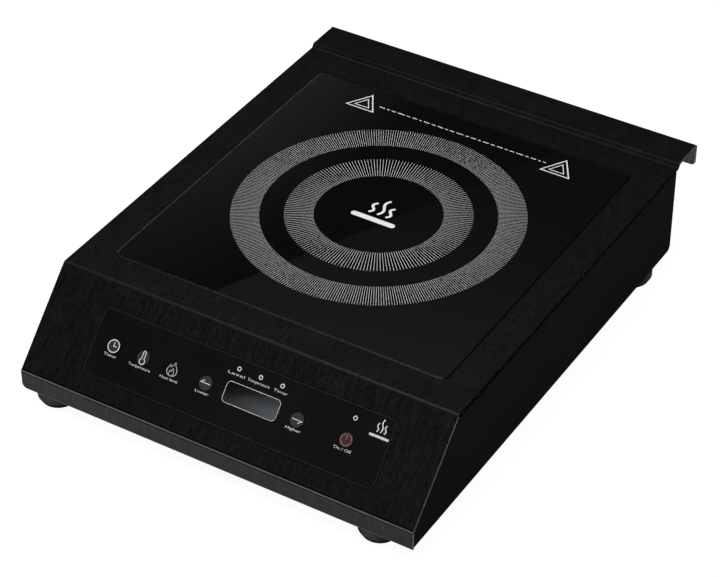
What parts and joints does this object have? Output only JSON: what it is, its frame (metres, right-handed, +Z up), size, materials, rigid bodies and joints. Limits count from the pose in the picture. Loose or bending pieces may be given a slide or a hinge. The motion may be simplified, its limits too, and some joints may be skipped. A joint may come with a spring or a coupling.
{
  "type": "counter-top induction cooker",
  "caption": "Single-zone counter-top induction cooker: flush black glass plate in a folded black steel box with a sloped keypad, a raised rear ledge and rubber feet.",
  "frame": {"origin": "centre of the footprint, on the plane the rubber feet stand on", "axes": "+Z up, +Y towards the rear ledge and the cable entry, +X towards the user's right; the control slope faces -Y"},
  "size_m": [0.334, 0.435, 0.0926],
  "materials": {
    "black_brushed_steel": "brushed black finish, grain running up the slope, satin",
    "black_coated_steel": "fine satin black coating",
    "black_glass_ceramic": "opaque black glass-ceramic, polished, with a printed pale ring pattern",
    "grey_sealant": "matt silicone bead",
    "black_overlay": "black film with pale symbols, low gloss",
    "key_plastic": "dark grey key caps, satin",
    "smoked_window": "smoked display window",
    "lamp_lens": "dark red lamp lens",
    "foot_rubber": "matt brown-black rubber",
    "zinc_screw": "zinc plated",
    "galvanised_steel": "galvanised",
    "black_plastic": "moulded black plastic",
    "circuit_board": "green solder mask",
    "enamelled_copper": "enamelled copper wire",
    "ferrite": "sintered ferrite, dark grey",
    "mica": "pressed mica sheet",
    "aluminium": "extruded, plain",
    "spring_steel": "drawn spring wire",
    "switch_plastic": "moulded switch body",
    "film_capacitor": "resin filled box",
    "ribbon_cable": "grey flat cable"
  },
  "bodies": {
    "housing": {"top_cover": "black_brushed_steel", "side_panel_left": "black_coated_steel", "side_panel_right": "black_coated_steel", "base_plate": "black_coated_steel", "rear_panel": "black_coated_steel", "glass_plate": "black_glass_ceramic", "glass_seal": "grey_sealant", "glass_frame": "galvanised_steel", "control_overlay": "black_overlay", "switch_timer": "switch_plastic", "switch_temperature": "switch_plastic", "switch_level": "switch_plastic", "switch_less": "switch_plastic", "switch_more": "switch_plastic", "switch_power": "switch_plastic", "lamp_level": "lamp_lens", "lamp_temperature": "lamp_lens", "lamp_timer": "lamp_lens", "lamp_power": "lamp_lens", "display_window": "smoked_window", "display_module": "black_plastic", "keypad_carrier": "black_plastic", "cable_gland": "black_plastic", "gland_nut": "black_plastic", "coil_carrier": "black_plastic", "sensor_cup": "black_plastic", "power_transistor": "black_plastic", "terminal_block": "black_plastic", "fan_frame": "black_plastic", "control_board": "circuit_board", "power_board": "circuit_board", "foot_front_left": "foot_rubber", "foot_front_right": "foot_rubber", "foot_rear_left": "foot_rubber", "foot_rear_right": "foot_rubber", "foot_screw_front_left": "zinc_screw", "foot_screw_front_right": "zinc_screw", "foot_screw_rear_left": "zinc_screw", "foot_screw_rear_right": "zinc_screw", "mica_sheet": "mica", "coil_winding": "enamelled_copper", "choke": "enamelled_copper", "ferrite_bar_1": "ferrite", "ferrite_bar_2": "ferrite", "ferrite_bar_3": "ferrite", "ferrite_bar_4": "ferrite", "heat_sink": "aluminium", "sensor_spring": "spring_steel", "resonance_capacitor": "film_capacitor", "filter_capacitor": "film_capacitor", "ribbon_cable": "ribbon_cable"},
    "rotor": {"fan_rotor": "black_plastic"},
    "sensor": {"temperature_sensor": "aluminium"},
    "key_timer": {"key_timer": "key_plastic"},
    "key_temperature": {"key_temperature": "key_plastic"},
    "key_level": {"key_level": "key_plastic"},
    "key_less": {"key_less": "key_plastic"},
    "key_more": {"key_more": "key_plastic"},
    "key_power": {"key_power": "key_plastic"}
  },
  "joints": [
    {"name": "fan_spin", "type": "hinge", "parent": "housing", "child": "rotor", "pos_m": [-0.082, 0.06, 0.026], "axis": [0, 0, 1], "continuous": true},
    {"name": "key_timer_press", "type": "slide", "parent": "housing", "child": "key_timer", "axis": [0, 0.7152, -0.699], "range_m": [0, 0.0004], "stiffness_N_per_m": 1500},
    {"name": "key_temperature_press", "type": "slide", "parent": "housing", "child": "key_temperature", "axis": [0, 0.7152, -0.699], "range_m": [0, 0.0004], "stiffness_N_per_m": 1500},
    {"name": "key_level_press", "type": "slide", "parent": "housing", "child": "key_level", "axis": [0, 0.7152, -0.699], "range_m": [0, 0.0004], "stiffness_N_per_m": 1500},
    {"name": "key_less_press", "type": "slide", "parent": "housing", "child": "key_less", "axis": [0, 0.7152, -0.699], "range_m": [0, 0.0004], "stiffness_N_per_m": 1500},
    {"name": "key_more_press", "type": "slide", "parent": "housing", "child": "key_more", "axis": [0, 0.7152, -0.699], "range_m": [0, 0.0004], "stiffness_N_per_m": 1500},
    {"name": "key_power_press", "type": "slide", "parent": "housing", "child": "key_power", "axis": [0, 0.7152, -0.699], "range_m": [0, 0.0004], "stiffness_N_per_m": 1500},
    {"name": "sensor_float", "type": "slide", "parent": "housing", "child": "sensor", "axis": [0, 0, 1], "range_m": [-0.002, 0], "stiffness_N_per_m": 400, "springref_m": 0.003, "deforming": ["sensor_spring"]}
  ]
}
